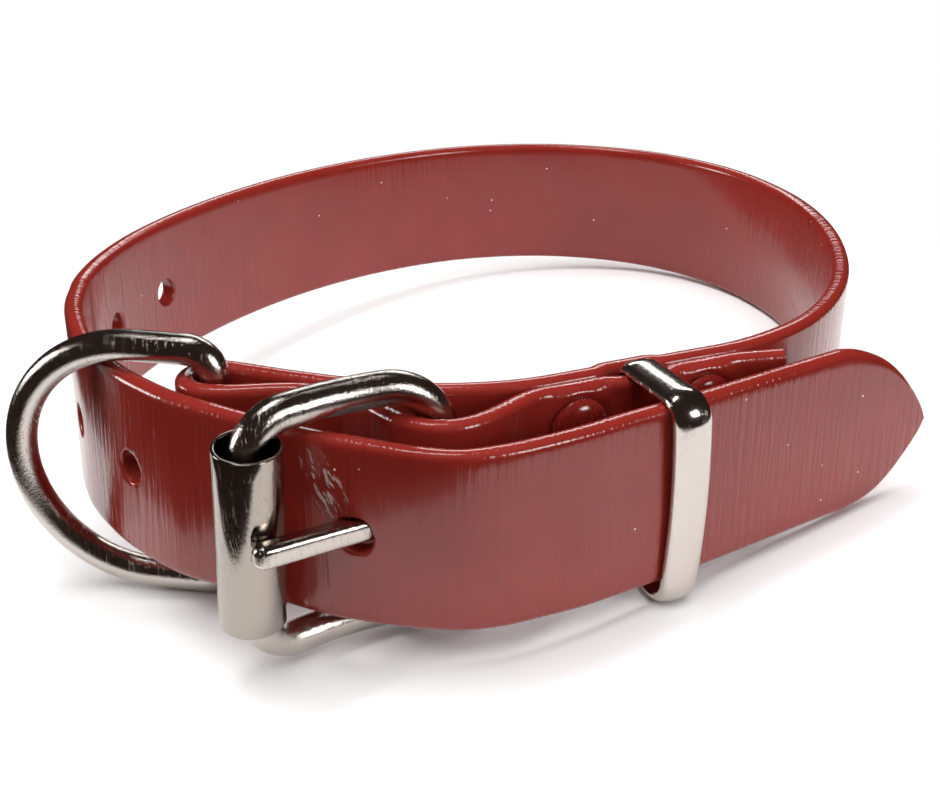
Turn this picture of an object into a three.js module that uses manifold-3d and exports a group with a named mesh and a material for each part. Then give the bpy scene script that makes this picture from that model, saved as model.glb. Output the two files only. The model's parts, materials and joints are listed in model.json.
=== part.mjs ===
// A buckled dog collar: a coated webbing strap with nickel buckle, roller, prong, ring, keeper and rivets.
// Millimetres, +Z up. The front of the collar, with the buckle, faces -Y.
import * as THREE from "three";
import { mergeVertices } from "three/addons/utils/BufferGeometryUtils.js";
import Module from "manifold-3d";

const wasm = await Module();
wasm.setup();

// Neck opening, inside the strap
const neckWidth = 120.9;
const neckDepth = 122.2;

// Strap
const strapWidth = 25.4;
const strapThickness = 2.7;
const edgeRound = 0.9;
const layerGap = 0.4; // between the two riveted layers at the front
const tipTaper = 18.5; // length of the pointed tip
const tongueFree = 25; // from the end of the outer layer to the tip
const holeDiameter = 4.5;
const holePitch = 17.6;
const holeCount = 7;
const holeLead = 0.6; // the prong bears on the side of its hole nearer the tip

// Clearances between pieces that touch on the real collar
const seatGap = 0.3;

// Stations along the front, measured along the neck line from the ring's bar
const heelBarStation = 29;
const keeperStation = 54.4;
const rivetOffset = 9.6; // from the keeper's middle to each pair of rivets
const layerEndOffset = 20.4; // from the keeper's middle to the square end of the outer layer

// Lie of the strap at the front
const heelBarStandOff = 2.3; // clear space between the inner layer and the heel bar
const heelBumpRun = 12.2; // half the length of the bump over the heel bar
const foldRun = 13.5; // how far the fold takes to close after the ring's bar
const endSpring = 2.2; // how far the square end springs off the inner layer
const springCurl = 1.5; // the power that it curls up with
const endClearance = 2.1; // from the square end to the tongue over it
const crestClearance = 4.4; // under the strap's crest, over the heel bump
const crossClearance = 2; // between the ring's fold and the strap that passes it
const leftRun = 36; // from the ring's bar back to where the strap lies on the neck line
const keeperSlack = 6.3; // clear space between the layers inside the keeper
const pinchRun = 5.6; // half the length of the stretch that the keeper spreads

// Buckle
const wireDiameter = 4.5;
const frameLength = 25; // between the centres of the front bar and the heel bar
const frameWindow = 27.9; // clear height inside the frame
const frontCorner = 5.2;
const heelCorner = 7;
const frameBow = 1.6;
const buckleSwing = 26.5; // degrees that the buckle stands off the neck line
const buckleLean = 1.4; // degrees that it is turned in its own plane
const buckleTip = 2; // degrees that its upper side stands further out
const rollerOuter = 8.4;
const rollerBore = 7.4;
const rollerLength = 25;
const rollerLean = -2.2; // the loose roller stands askew on its bar, in degrees
const rollerTip = 2.4;
const rollerRise = 1.2;
const rollerShift = 0.25;
const prongWidth = 3.1;
const prongThickness = 2.7;
const prongArch = -0.3;
const prongRise = 0.5; // above the middle of the buckle
const prongSkew = 3.4; // degrees that it climbs towards the roller
const prongHook = 0.16; // how sharply its tip bends over the roller
const prongEyeWall = 1.4;
const prongTipPast = 1.6; // how far the prong reaches past the roller's crown

// Ring
const ringWire = 4.2;
const ringHeight = 34.8; // between the centres of the two arms
const ringDepth = 28.9;
const ringArm = 11;
const ringBarCorner = 3.5;
const ringSag = 1.7; // the loose ring hangs a little low
const ringHeading = 170; // degrees in plan, from the bar to the bow

// Keeper
const keeperWidth = 5.5;
const keeperThickness = 1.4;
const keeperPlay = 1.3; // over and under the strap
const keeperSag = 1; // the loose keeper hangs on the strap's upper edge
const keeperCorner = 3;
const keeperBackCorner = 2.1;

// Rivets
const rivetCap = 8.4;
const rivetShank = 3.2;
const rivetDome = 1.7;
const rivetBackDome = 1;
const rivetInset = 5.8; // from the strap's edge

// Mesh steps
const loopStep = 6.2;
const frontStep = 2.9;
const tipSteps = 10;
const foldSteps = 9;
const wireSides = 12;
const frameSteps = 52;
const ringSteps = 50;
const keeperSteps = 44;

// The neck line, seen from above, in shares of the neck opening's width and depth.
// It starts at the ring's bar and runs along the front, the right side, the back and the left side.
const neckTable = [
  { across: -0.272, back: -0.447 },
  { across: -0.191, back: -0.473 },
  { across: -0.109, back: -0.493 },
  { across: -0.034, back: -0.5 },
  { across: 0.04, back: -0.489 },
  { across: 0.115, back: -0.459 },
  { across: 0.214, back: -0.415 },
  { across: 0.305, back: -0.371 },
  { across: 0.388, back: -0.297 },
  { across: 0.45, back: -0.192 },
  { across: 0.487, back: -0.07 },
  { across: 0.5, back: 0.078 },
  { across: 0.478, back: 0.221 },
  { across: 0.412, back: 0.356 },
  { across: 0.301, back: 0.454 },
  { across: 0.148, back: 0.5 },
  { across: -0.01, back: 0.483 },
  { across: -0.158, back: 0.412 },
  { across: -0.295, back: 0.294 },
  { across: -0.408, back: 0.138 },
  { across: -0.483, back: -0.037 },
  { across: -0.5, back: -0.2 },
  { across: -0.456, back: -0.352 },
  { across: -0.378, back: -0.416 },
];

// The strap's height towards the tip: distance from the tip as a share of the taper,
// height and droop as shares of the strap's width.
const tipTable = [
  { fromTip: 0, height: 0.1, droop: 0.07 },
  { fromTip: 0.03, height: 0.17, droop: 0.07 },
  { fromTip: 0.1, height: 0.31, droop: 0.066 },
  { fromTip: 0.2, height: 0.47, droop: 0.062 },
  { fromTip: 0.33, height: 0.65, droop: 0.055 },
  { fromTip: 0.5, height: 0.82, droop: 0.045 },
  { fromTip: 0.67, height: 0.92, droop: 0.03 },
  { fromTip: 0.84, height: 0.98, droop: 0.014 },
  { fromTip: 1, height: 1, droop: 0 },
];

// How the strap settles from the crossing at the ring's bar back to the neck line:
// distance back as a share of leftRun, height as a share of the crossing's height.
// Lean is how far the lower edge stands out from the upper one, in shares of the strap's width.
const settleTable = [
  { back: 0, rise: 1, lean: 0.06 },
  { back: 0.11, rise: 0.92, lean: 0.06 },
  { back: 0.32, rise: 0.555, lean: 0.06 },
  { back: 0.52, rise: 0.255, lean: 0.05 },
  { back: 0.67, rise: 0.085, lean: 0.035 },
  { back: 1, rise: 0, lean: 0.01 },
];

// How the tongue falls from its crest to the keeper: way as a share of the distance between them.
const fallTable = [
  { way: 0.15, fall: 0.11, lean: -0.03 },
  { way: 0.3, fall: 0.36, lean: -0.015 },
  { way: 0.47, fall: 0.6, lean: 0.01 },
  { way: 0.68, fall: 0.79, lean: 0.025 },
];

const finishes = {
  strap: new THREE.MeshStandardMaterial({ color: 0x9c4742, roughness: 0.3 }),
  nickel: new THREE.MeshStandardMaterial({
    color: 0xb9b2aa,
    roughness: 0.22,
    metalness: 1,
  }),
};

const degrees = Math.PI / 180;
const wireRadius = wireDiameter / 2;
const midHeight = strapWidth / 2;
const halfStrap = strapThickness / 2;

// Eases from 1 at 0 to 0 at 1, level at both ends.
const ease = (way) => (1 + Math.cos(Math.PI * Math.min(Math.max(way, 0), 1))) / 2;

// Reads a column of a table at a place between its rows.
function readTable(table, key, column, place) {
  const after = table.findIndex((row) => row[key] >= place);
  if (after === -1) return table[table.length - 1][column];
  if (after === 0) return table[0][column];
  const [low, high] = [table[after - 1], table[after]];
  const share = (place - low[key]) / (high[key] - low[key]);
  return low[column] + share * (high[column] - low[column]);
}

// The neck line and the points beside it
const neckLine = new THREE.CatmullRomCurve3(
  neckTable.map((row) => new THREE.Vector3(row.across * neckWidth, row.back * neckDepth, 0)),
  true,
  "centripetal",
);
neckLine.arcLengthDivisions = 1500;
const neckLength = neckLine.getLength();

// The neck line's point, direction and outward normal at a station.
function neckAt(station) {
  const share = THREE.MathUtils.euclideanModulo(station / neckLength, 1);
  const point = neckLine.getPointAt(share);
  const along = neckLine.getTangentAt(share);
  return { point, along, outward: new THREE.Vector3(along.y, -along.x, 0) };
}

function beside(station, out) {
  const { point, outward } = neckAt(station);
  return point.addScaledVector(outward, out);
}

// The station whose outward line passes closest to a point near the front, and the distance out.
function stationOf(point) {
  let best = { miss: Infinity };
  for (let station = -leftRun; station <= keeperStation; station += 0.1) {
    const near = neckAt(station);
    const offset = point.clone().sub(near.point);
    const miss = Math.abs(offset.dot(near.along));
    if (miss < best.miss) best = { miss, station, out: offset.dot(near.outward) };
  }
  return best;
}

// Heights of the layers above the neck line
const innerOut = halfStrap;
const beddedOut = innerOut + strapThickness + layerGap;
const foldRadius = ringWire / 2 + seatGap + halfStrap;
const foldOut = innerOut + 2 * foldRadius;
const heelBarOut = strapThickness + heelBarStandOff + wireRadius;
const leanRoom = (Math.tan((buckleLean + buckleTip) * degrees) * strapWidth) / 2;
const heelBumpOut = heelBarOut + wireRadius + seatGap + leanRoom + halfStrap;
const keeperRoom = keeperThickness + 2 * seatGap - layerGap;
const keeperHalf = keeperWidth / 2 + seatGap;
const outerLayerEnd = keeperStation + layerEndOffset;

// How far the keeper's back leg spreads the two layers, 1 over the leg and 0 past pinchRun.
function pinch(station) {
  const off = Math.abs(station - keeperStation);
  return ease((off - keeperHalf) / (pinchRun - keeperHalf));
}

function innerLayer(station) {
  return innerOut - (pinch(station) * keeperRoom) / 2;
}

function outerLayer(station) {
  const fold = (foldOut - beddedOut) * ease(station / foldRun);
  const bump = (heelBumpOut - beddedOut) * ease(Math.abs(station - heelBarStation) / heelBumpRun);
  const spread = (pinch(station) * keeperRoom) / 2;
  const springStart = keeperStation + rivetOffset + rivetCap / 2 + seatGap;
  const spring = Math.max(0, (station - springStart) / (outerLayerEnd - springStart));
  return beddedOut + fold + bump + spread + endSpring * spring ** springCurl;
}

// The buckle's own frame: its origin on the heel bar, X towards the roller, Y outward, Z up.
const heelBar = beside(heelBarStation, heelBarOut);
const heelDirection = neckAt(heelBarStation).along;
const buckleHeading =
  Math.atan2(-heelDirection.y, -heelDirection.x) + buckleSwing * degrees;
const buckle = new THREE.Group();
buckle.position.set(heelBar.x, heelBar.y, midHeight);
buckle.rotation.set(-buckleTip * degrees, buckleLean * degrees, buckleHeading, "ZYX");
buckle.updateMatrixWorld(true);
const rollerX = frameLength + rollerShift;
const rollerCentre = buckle.localToWorld(new THREE.Vector3(rollerX, 0, 0)).setZ(0);
const roller = stationOf(rollerCentre);

// The strap's outer run, from the tip leftwards. Each point's Z holds its lean.
const crestStation = heelBarStation + 1;
const crestOut = heelBumpOut + strapThickness + crestClearance;
const leanAtCrest = -0.05;
const leanAtRoller = 0.01;
const dropShare = 0.5; // how much of the crest's height is left halfway to the roller
const rollerRoom = (Math.tan((rollerTip + buckleTip) * degrees) * rollerLength) / 2;
const underRoller = roller.out - rollerOuter / 2 - seatGap - halfStrap - rollerRoom;
const crossOut = foldOut + halfStrap + crossClearance + halfStrap;
const tongueAtKeeper = outerLayer(keeperStation) + strapThickness + keeperSlack;
const tongueAtEnd = outerLayer(outerLayerEnd) + strapThickness + endClearance;

function leaning(point, lean) {
  return point.setZ(lean * strapWidth);
}

const tongueLean = 0.03;
const dropStation = (crestStation + roller.station) / 2;
const settledStation = -1.25 * leftRun;
const endPoint = leaning(beside(outerLayerEnd, tongueAtEnd), tongueLean);
const keeperPoint = leaning(beside(keeperStation, tongueAtKeeper), tongueLean);
const tipDirection = endPoint.clone().sub(keeperPoint).setZ(0).normalize();
const tipPoint = endPoint.clone().addScaledVector(tipDirection, tongueFree);
const outerRun = new THREE.CatmullRomCurve3(
  [
    tipPoint,
    endPoint,
    keeperPoint,
    ...[...fallTable].reverse().map((row) => {
      const station = THREE.MathUtils.lerp(crestStation, keeperStation, row.way);
      const out = THREE.MathUtils.lerp(crestOut, tongueAtKeeper, row.fall);
      return leaning(beside(station, out), row.lean);
    }),
    leaning(beside(crestStation, crestOut), leanAtCrest),
    leaning(beside(dropStation, THREE.MathUtils.lerp(underRoller, crestOut, dropShare)), 0),
    leaning(beside(roller.station, underRoller), leanAtRoller),
    ...settleTable.map((row) => {
      const station = -row.back * leftRun;
      const out = innerOut + row.rise * (crossOut - innerOut);
      return leaning(beside(station, out), row.lean);
    }),
    leaning(beside(settledStation, innerOut), 0),
  ],
  false,
  "centripetal",
);
outerRun.arcLengthDivisions = 1500;
const outerRunLength = outerRun.getLength();

// The strap's middle line as a list of points, from the tip to the square end
const strapLine = [];
for (let i = 0; i < tipSteps; i += 1) {
  const fromTip = tipTaper * (i / tipSteps) ** 1.4;
  strapLine.push(outerRun.getPointAt(fromTip / outerRunLength));
}
const runSteps = Math.round((outerRunLength - tipTaper) / frontStep);
for (let i = 0; i <= runSteps; i += 1) {
  const fromTip = THREE.MathUtils.lerp(tipTaper, outerRunLength, i / runSteps);
  strapLine.push(outerRun.getPointAt(fromTip / outerRunLength));
}
const loopEnd = outerLayerEnd + leftRun / 2 - neckLength;
const loopSteps = Math.round((settledStation - loopEnd) / loopStep);
for (let i = 1; i <= loopSteps; i += 1) {
  const station = THREE.MathUtils.lerp(settledStation, loopEnd, i / loopSteps);
  strapLine.push(beside(station, innerOut));
}
const innerSteps = Math.round((loopEnd + neckLength) / frontStep);
for (let i = 1; i <= innerSteps; i += 1) {
  const station = (loopEnd + neckLength) * (1 - i / innerSteps);
  strapLine.push(beside(station, innerLayer(station)));
}
const foldCentre = beside(0, innerOut + foldRadius);
const foldStart = neckAt(0);
for (let i = 1; i < foldSteps; i += 1) {
  const turn = (Math.PI * i) / foldSteps;
  strapLine.push(
    foldCentre
      .clone()
      .addScaledVector(foldStart.outward, -foldRadius * Math.cos(turn))
      .addScaledVector(foldStart.along, -foldRadius * Math.sin(turn)),
  );
}
const outerSteps = Math.round(outerLayerEnd / frontStep);
for (let i = 0; i <= outerSteps; i += 1) {
  const station = (outerLayerEnd * i) / outerSteps;
  strapLine.push(beside(station, outerLayer(station)));
}

// A rounded rectangle's corner arcs, as points with across and up.
function roundedSection(width, height, round) {
  const corner = Math.min(round, 0.45 * height, 0.45 * width);
  const points = [];
  for (let quarter = 0; quarter < 4; quarter += 1) {
    const right = quarter === 0 || quarter === 3 ? 1 : -1;
    const top = quarter < 2 ? 1 : -1;
    for (let step = 0; step <= 2; step += 1) {
      const turn = ((quarter + step / 2) * Math.PI) / 2;
      points.push({
        across: right * (width / 2 - corner) + corner * Math.cos(turn),
        up: top * (height / 2 - corner) + corner * Math.sin(turn),
      });
    }
  }
  return points;
}

// A solid skin over a row of rings with equal numbers of points; closed joins the last to the first.
function skin(rings, closed) {
  const sides = rings[0].length;
  const indices = [];
  const pairs = closed ? rings.length : rings.length - 1;
  for (let i = 0; i < pairs; i += 1) {
    const here = i * sides;
    const next = ((i + 1) % rings.length) * sides;
    for (let j = 0; j < sides; j += 1) {
      const k = (j + 1) % sides;
      indices.push(here + j, here + k, next + k, here + j, next + k, next + j);
    }
  }
  if (!closed) {
    const last = (rings.length - 1) * sides;
    for (let j = 1; j < sides - 1; j += 1) {
      indices.push(0, j + 1, j, last, last + j, last + j + 1);
    }
  }
  const geometry = new THREE.BufferGeometry();
  const places = rings.flat().flatMap((point) => point.toArray());
  geometry.setAttribute("position", new THREE.Float32BufferAttribute(places, 3));
  geometry.setIndex(indices);
  return geometry;
}

function toSolid(geometry) {
  const bare = geometry.clone();
  bare.deleteAttribute("normal");
  bare.deleteAttribute("uv");
  const merged = mergeVertices(bare, 1e-4);
  return new wasm.Manifold(
    new wasm.Mesh({
      numProp: 3,
      vertProperties: new Float32Array(merged.attributes.position.array),
      triVerts: new Uint32Array(merged.index.array),
    }),
  );
}

function toGeometry(solid) {
  const mesh = solid.getMesh();
  const geometry = new THREE.BufferGeometry();
  geometry.setAttribute("position", new THREE.BufferAttribute(mesh.vertProperties, 3));
  geometry.setIndex(new THREE.BufferAttribute(mesh.triVerts, 1));
  const faceted = geometry.toNonIndexed();
  faceted.computeVertexNormals();
  return faceted;
}

// The strap, before its holes
let travelled = 0;
const strapWay = strapLine.map((point, i) => {
  if (i > 0) travelled += Math.hypot(point.x - strapLine[i - 1].x, point.y - strapLine[i - 1].y);
  return travelled;
});
const strapRings = strapLine.map((point, i) => {
  const before = strapLine[Math.max(i - 1, 0)];
  const after = strapLine[Math.min(i + 1, strapLine.length - 1)];
  const along = after.clone().sub(before).setZ(0).normalize();
  const across = new THREE.Vector3(-along.y, along.x, 0);
  const fromTip = strapWay[i] / tipTaper;
  const height = strapWidth * readTable(tipTable, "fromTip", "height", fromTip);
  const droop = strapWidth * readTable(tipTable, "fromTip", "droop", fromTip);
  return roundedSection(strapThickness, height, edgeRound).map(({ across: side, up }) => {
    const leanOff = (-point.z * up) / strapWidth;
    return new THREE.Vector3(point.x, point.y, midHeight + up - droop).addScaledVector(
      across,
      side + leanOff,
    );
  });
});
let strapSolid = toSolid(skin(strapRings, false));

// A point on the strap's middle line and its across direction, a given way from the tip
function strapAt(way) {
  const after = Math.max(1, strapWay.findIndex((length) => length >= way));
  const share = (way - strapWay[after - 1]) / (strapWay[after] - strapWay[after - 1]);
  const along = strapLine[after].clone().sub(strapLine[after - 1]).setZ(0).normalize();
  const point = strapLine[after - 1].clone().lerp(strapLine[after], share).setZ(midHeight);
  return { point, across: new THREE.Vector3(along.y, -along.x, 0) };
}

// A round punch through one layer
function punch(point, across, diameter) {
  const cutter = new THREE.CylinderGeometry(diameter / 2, diameter / 2, 2 * strapThickness, 16);
  cutter.applyQuaternion(
    new THREE.Quaternion().setFromUnitVectors(new THREE.Vector3(0, 1, 0), across),
  );
  return toSolid(cutter.translate(point.x, point.y, point.z));
}

// The prong's side outline in the buckle's frame, grown by a clearance
const eyeRadius = wireRadius + seatGap;
const seatHeight = rollerOuter / 2 + seatGap + prongThickness / 2;
function prongHeight(x) {
  const way = x / rollerX;
  const line = THREE.MathUtils.lerp(eyeRadius + prongThickness / 2, seatHeight, way);
  const arch = prongArch * Math.sin(Math.PI * Math.min(way, 1));
  return line + arch - prongHook * Math.max(0, x - rollerX) ** 2;
}

function prongSolid(clearance) {
  const steps = 12;
  const upper = [];
  const lower = [];
  for (let i = 0; i <= steps; i += 1) {
    const x = ((rollerX + prongTipPast) * i) / steps;
    const slope = (prongHeight(x + 0.01) - prongHeight(x)) / 0.01;
    const normal = new THREE.Vector2(-slope, 1).normalize();
    const middle = new THREE.Vector2(x, prongHeight(x));
    const half = prongThickness / 2 + clearance;
    upper.push(middle.clone().addScaledVector(normal, half));
    lower.push(middle.clone().addScaledVector(normal, -half));
  }
  const round = clearance > 0 ? 0 : 0.5;
  const options = {
    depth: prongWidth + 2 * clearance - 2 * round,
    bevelEnabled: round > 0,
    bevelThickness: round,
    bevelSize: round,
    bevelOffset: -round,
    bevelSegments: 2,
    curveSegments: 10,
  };
  const centred = (shape) =>
    toSolid(
      new THREE.ExtrudeGeometry(shape, options).translate(0, 0, prongRise - options.depth / 2),
    );
  const arm = centred(new THREE.Shape([...upper, ...lower.reverse()]));
  const eye = new THREE.Shape().absarc(0, 0, eyeRadius + prongEyeWall + clearance, 0, 2 * Math.PI);
  const bore = new THREE.CylinderGeometry(eyeRadius, eyeRadius, 3 * prongWidth, 20).rotateX(Math.PI / 2);
  const turned = arm.rotate([0, -prongSkew, 0]).add(centred(eye));
  return clearance > 0 ? turned : turned.subtract(toSolid(bore));
}

// Holes: the first is where the prong comes through, the others follow towards the left
function crossingWay() {
  let best = { miss: Infinity };
  strapLine.forEach((point, i) => {
    const local = buckle.worldToLocal(point.clone().setZ(midHeight));
    if (local.x < 0.2 * rollerX || local.x > 0.8 * rollerX || strapWay[i] > outerRunLength) return;
    const miss = Math.abs(local.y - prongHeight(local.x));
    if (miss < best.miss) best = { miss, way: strapWay[i] };
  });
  return best.way;
}

const firstHole = crossingWay() + holeLead;
for (let i = 0; i < holeCount; i += 1) {
  const { point, across } = strapAt(firstHole + i * holePitch);
  strapSolid = strapSolid.subtract(punch(point, across, holeDiameter));
}
const relief = prongSolid(seatGap).transform(buckle.matrixWorld.toArray());
strapSolid = strapSolid.subtract(relief);

// Rivets, each turned about its own axis: a domed cap, a shank and a lower back cap
const rivetGrip = beddedOut + halfStrap + 2 * seatGap;
function rivetGeometry() {
  const cap = rivetCap / 2;
  const shank = rivetShank / 2;
  const backFace = -seatGap;
  const frontFace = backFace + rivetGrip;
  const profile = [new THREE.Vector2(0, backFace - rivetBackDome)];
  for (let i = 1; i <= 4; i += 1) {
    const turn = (i / 4) * (Math.PI / 2);
    profile.push(
      new THREE.Vector2(cap * Math.sin(turn), backFace - rivetBackDome * Math.cos(turn)),
    );
  }
  profile.push(new THREE.Vector2(shank, backFace), new THREE.Vector2(shank, frontFace));
  for (let i = 0; i <= 5; i += 1) {
    const turn = (i / 5) * (Math.PI / 2);
    profile.push(
      new THREE.Vector2(cap * Math.cos(turn), frontFace + rivetDome * Math.sin(turn)),
    );
  }
  profile[profile.length - 1].x = 0;
  return new THREE.LatheGeometry(profile, 16);
}

const rivetPlaces = [];
for (const side of [-1, 1]) {
  for (const height of [strapWidth - rivetInset, rivetInset]) {
    const { point, outward } = neckAt(keeperStation + side * rivetOffset);
    rivetPlaces.push({ point: point.setZ(height), outward });
  }
}
for (const { point, outward } of rivetPlaces) {
  const drill = new THREE.CylinderGeometry(
    rivetShank / 2 + seatGap,
    rivetShank / 2 + seatGap,
    3 * rivetGrip,
    12,
  );
  drill.applyQuaternion(
    new THREE.Quaternion().setFromUnitVectors(new THREE.Vector3(0, 1, 0), outward),
  );
  const { x, y, z } = point;
  const bite = toSolid(drill.translate(x, y, z));
  const reach = new THREE.BoxGeometry(4 * rivetShank, rivetGrip + strapThickness, 4 * rivetShank);
  reach.applyQuaternion(
    new THREE.Quaternion().setFromUnitVectors(new THREE.Vector3(0, 1, 0), outward),
  );
  const middle = point.clone().addScaledVector(outward, rivetGrip / 2 - seatGap);
  const limit = toSolid(reach.translate(middle.x, middle.y, middle.z));
  strapSolid = strapSolid.subtract(bite.intersect(limit));
}

// A round bar along a closed flat outline in the XY plane, stood up into the XZ plane
class FlatLoop extends THREE.Curve {
  constructor(outline, bow) {
    super();
    this.outline = outline;
    this.bow = bow;
  }

  getPoint(share, target = new THREE.Vector3()) {
    const { x, y } = this.outline.getPointAt(share % 1);
    return target.set(x, this.bow(x), y);
  }
}

function wireLoop(outline, steps, radius, bow) {
  const curve = new FlatLoop(outline, bow);
  return new THREE.TubeGeometry(curve, steps, radius, wireSides, true);
}

function cornered(length, half, startCorner, endCorner) {
  const path = new THREE.Path();
  path.moveTo(startCorner, -half);
  path.lineTo(length - endCorner, -half);
  path.absarc(length - endCorner, -half + endCorner, endCorner, -Math.PI / 2, 0);
  path.lineTo(length, half - endCorner);
  path.absarc(length - endCorner, half - endCorner, endCorner, 0, Math.PI / 2);
  path.lineTo(startCorner, half);
  path.absarc(startCorner, half - startCorner, startCorner, Math.PI / 2, Math.PI);
  path.lineTo(0, -half + startCorner);
  path.absarc(startCorner, -half + startCorner, startCorner, Math.PI, 1.5 * Math.PI);
  return path;
}

const frameHalf = (frameWindow + wireDiameter) / 2;
const frameOutline = cornered(frameLength, frameHalf, heelCorner, frontCorner);
const frameSag = (x) => -frameBow * Math.sin(Math.PI * Math.min(Math.max(x / frameLength, 0), 1));
const frameGeometry = wireLoop(frameOutline, frameSteps, wireRadius, frameSag);

// The roller, a thin tube turned about the front bar
const rollerWall = [
  new THREE.Vector2(rollerBore / 2, -rollerLength / 2),
  new THREE.Vector2(rollerOuter / 2, -rollerLength / 2),
  new THREE.Vector2(rollerOuter / 2, rollerLength / 2),
  new THREE.Vector2(rollerBore / 2, rollerLength / 2),
  new THREE.Vector2(rollerBore / 2, -rollerLength / 2),
];
const rollerGeometry = new THREE.LatheGeometry(rollerWall, 24).rotateX(Math.PI / 2);

// The ring's own frame: its origin on the bar, X towards the bow, Z up
const ring = new THREE.Group();
ring.position.set(foldCentre.x, foldCentre.y, midHeight - ringSag);
ring.rotation.z = ringHeading * degrees;
const ringHalf = ringHeight / 2;
const ringOutline = new THREE.Path();
ringOutline.moveTo(ringBarCorner, -ringHalf);
ringOutline.lineTo(ringArm, -ringHalf);
ringOutline.absellipse(ringArm, 0, ringDepth - ringArm, ringHalf, -Math.PI / 2, Math.PI / 2);
ringOutline.lineTo(ringBarCorner, ringHalf);
ringOutline.absarc(ringBarCorner, ringHalf - ringBarCorner, ringBarCorner, Math.PI / 2, Math.PI);
ringOutline.lineTo(0, -ringHalf + ringBarCorner);
ringOutline.absarc(ringBarCorner, -ringHalf + ringBarCorner, ringBarCorner, Math.PI, 1.5 * Math.PI);
const ringGeometry = wireLoop(ringOutline, ringSteps, ringWire / 2, () => 0);

// The keeper's own frame: its origin on the back leg, X outward, Y along the strap, Z up
const keeperFace = neckAt(keeperStation);
const tongueAngle = tipDirection.angleTo(keeperFace.along);
const keeperBack = innerLayer(keeperStation) + halfStrap + seatGap + keeperThickness / 2;
const frontGap =
  seatGap + (Math.sin(tongueAngle) * keeperWidth + tongueLean * strapWidth) / 2;
const keeperFront = tongueAtKeeper + halfStrap + frontGap + keeperThickness / 2;
const keeperReach = keeperFront - keeperBack;
const keeperRise = midHeight + keeperPlay + keeperThickness / 2;
const keeperOutline = cornered(keeperReach, keeperRise, keeperBackCorner, keeperCorner);
const keeperRings = [];
for (let i = 0; i < keeperSteps; i += 1) {
  const { x, y } = keeperOutline.getPointAt(i / keeperSteps);
  const along = keeperOutline.getTangentAt(i / keeperSteps);
  const outward = new THREE.Vector3(along.y, 0, -along.x);
  const section = [];
  for (let j = 0; j < 8; j += 1) {
    const turn = (j / 7) * Math.PI;
    const side = (-keeperWidth / 2) * Math.cos(turn);
    const height = keeperThickness * (Math.sin(turn) - 0.5);
    section.push(new THREE.Vector3(x, side, y).addScaledVector(outward, height));
  }
  keeperRings.push(section);
}
const keeperGeometry = skin(keeperRings, true);

// Assembly
function piece(name, geometry, material, parent) {
  const mesh = new THREE.Mesh(geometry, material);
  mesh.name = name;
  parent.add(mesh);
  return mesh;
}

const collar = new THREE.Group();
collar.add(buckle, ring);
const strap = piece("strap", toGeometry(strapSolid), finishes.strap, collar);
piece("buckle_frame", frameGeometry, finishes.nickel, buckle);
const rollerPiece = piece("roller", rollerGeometry, finishes.nickel, buckle);
rollerPiece.position.set(rollerX, 0, rollerRise);
rollerPiece.rotation.set(-rollerTip * degrees, rollerLean * degrees, 0);
piece("prong", toGeometry(prongSolid(0)), finishes.nickel, buckle);
const ringPiece = piece("d_ring", ringGeometry, finishes.nickel, ring);
const keeper = piece("keeper", keeperGeometry, finishes.nickel, collar);
const keeperPlace = beside(keeperStation, keeperBack);
keeper.position.set(keeperPlace.x, keeperPlace.y, midHeight - keeperSag);
keeper.rotation.z = Math.atan2(keeperFace.outward.y, keeperFace.outward.x);
rivetPlaces.forEach(({ point, outward }, i) => {
  const rivet = piece(`rivet_${i + 1}`, rivetGeometry(), finishes.nickel, collar);
  rivet.position.copy(point);
  rivet.quaternion.setFromUnitVectors(new THREE.Vector3(0, 1, 0), outward);
});

// The collar lies on a flat surface. It touches it with the loose ring, the keeper
// and the lower edge of the strap's right side, so it is turned until these three are level.
function lowestPoint(mesh, up) {
  const { position } = mesh.geometry.attributes;
  let lowest = null;
  for (let i = 0; i < position.count; i += 1) {
    const point = new THREE.Vector3().fromBufferAttribute(position, i);
    point.applyMatrix4(mesh.matrixWorld);
    if (lowest === null || point.dot(up) < lowest.dot(up)) lowest = point;
  }
  return lowest;
}

const stand = new THREE.Group();
stand.add(collar);
stand.updateMatrixWorld(true);
const upward = new THREE.Vector3(0, 0, 1);
let restUp = new THREE.Vector3(-0.05, 0, 1);
for (let i = 0; i < 6; i += 1) {
  const [first, second, third] = [ringPiece, keeper, strap].map((mesh) => lowestPoint(mesh, restUp));
  restUp = second.sub(first).cross(third.sub(first)).normalize();
}
collar.quaternion.setFromUnitVectors(restUp, upward);
stand.updateMatrixWorld(true);
const box = new THREE.Box3().setFromObject(stand, true);
collar.position.set(-(box.min.x + box.max.x) / 2, -(box.min.y + box.max.y) / 2, -box.min.z);

export default stand;
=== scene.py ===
"""A buckled dog collar: a brick red coated strap with polished nickel hardware."""

import json
import math

import bmesh
import bpy
import numpy as np
from mathutils import Matrix, Vector


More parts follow.
